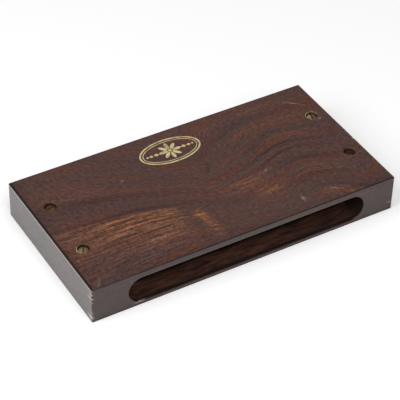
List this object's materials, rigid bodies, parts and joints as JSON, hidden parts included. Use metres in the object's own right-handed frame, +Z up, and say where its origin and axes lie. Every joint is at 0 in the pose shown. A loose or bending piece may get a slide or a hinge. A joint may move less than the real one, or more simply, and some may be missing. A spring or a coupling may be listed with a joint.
{
  "type": "woodblock",
  "caption": "Flat rectangular rosewood woodblock with a wide round-ended slot cut into its long front side and brass screws sunk in its solid ends, struck with a stick to sound.",
  "frame": {"origin": "middle of the underside", "axes": "+X along the length to the right, -Y towards the mouth of the slot, +Z up"},
  "size_m": [0.2, 0.104, 0.024],
  "materials": {
    "rosewood": "satin lacquer",
    "cup_brass": "drawn and dulled",
    "screw_brass": "turned and tarnished"
  },
  "bodies": {
    "root": {"sound_block": "rosewood", "cup_back_left": "cup_brass", "cup_back_right": "cup_brass", "cup_front_left": "cup_brass", "cup_front_right": "cup_brass", "screw_back_left": "screw_brass", "screw_back_right": "screw_brass", "screw_front_left": "screw_brass", "screw_front_right": "screw_brass"}
  },
  "joints": []
}
